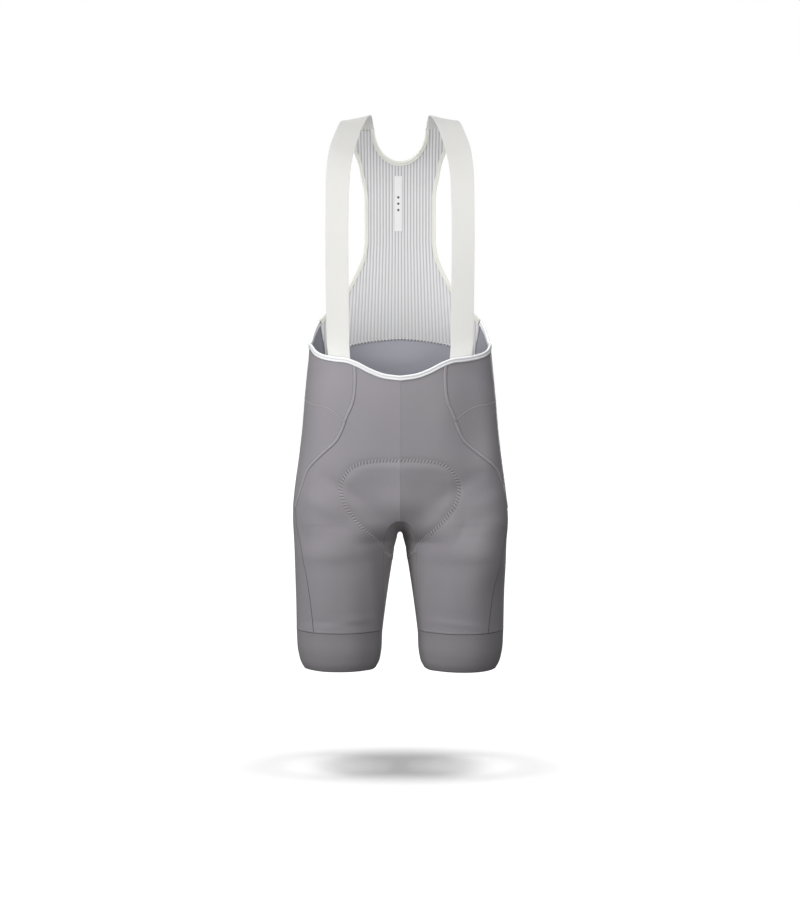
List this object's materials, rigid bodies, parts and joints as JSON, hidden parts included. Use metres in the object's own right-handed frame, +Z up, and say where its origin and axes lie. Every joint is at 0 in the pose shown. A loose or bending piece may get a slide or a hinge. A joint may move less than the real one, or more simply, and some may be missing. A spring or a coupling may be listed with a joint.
{
  "type": "cycling bib shorts",
  "caption": "Hollow worn-shape cycling bib shorts: panelled stretch legs with wide bands, a ribbed racer-back bib and two flat elastic shoulder straps.",
  "frame": {"origin": "middle of the shoulders, level with the highest line of the straps", "axes": "+X to the wearer's left, +Y to the wearer's back, +Z up"},
  "size_m": [0.3624, 0.246, 0.9348],
  "materials": {
    "lycra": "matt warm-knit stretch fabric, mid grey",
    "band_lycra": "firm matt stretch band, darker grey",
    "gusset_lycra": "matt stretch fabric, grey",
    "elastic": "matt off-white elastic webbing",
    "rib_knit": "matt white ribbed knit",
    "tape_white": "folded satin-edged white tape",
    "tape_cream": "folded cream tape",
    "label_satin": "soft white satin, bare"
  },
  "bodies": {
    "root": {"front_left": "lycra", "front_right": "lycra", "side_yoke_left": "lycra", "side_yoke_right": "lycra", "back_left": "lycra", "back_right": "lycra", "leg_side_left": "lycra", "leg_side_right": "lycra", "inner_leg_gusset": "gusset_lycra", "hem_band_left": "band_lycra", "hem_band_right": "band_lycra", "bib_mesh_back": "rib_knit", "strap_left": "elastic", "strap_right": "elastic", "waist_binding": "tape_white", "neck_binding": "tape_cream", "armhole_binding_left": "tape_cream", "armhole_binding_right": "tape_cream", "label": "label_satin"}
  },
  "joints": []
}
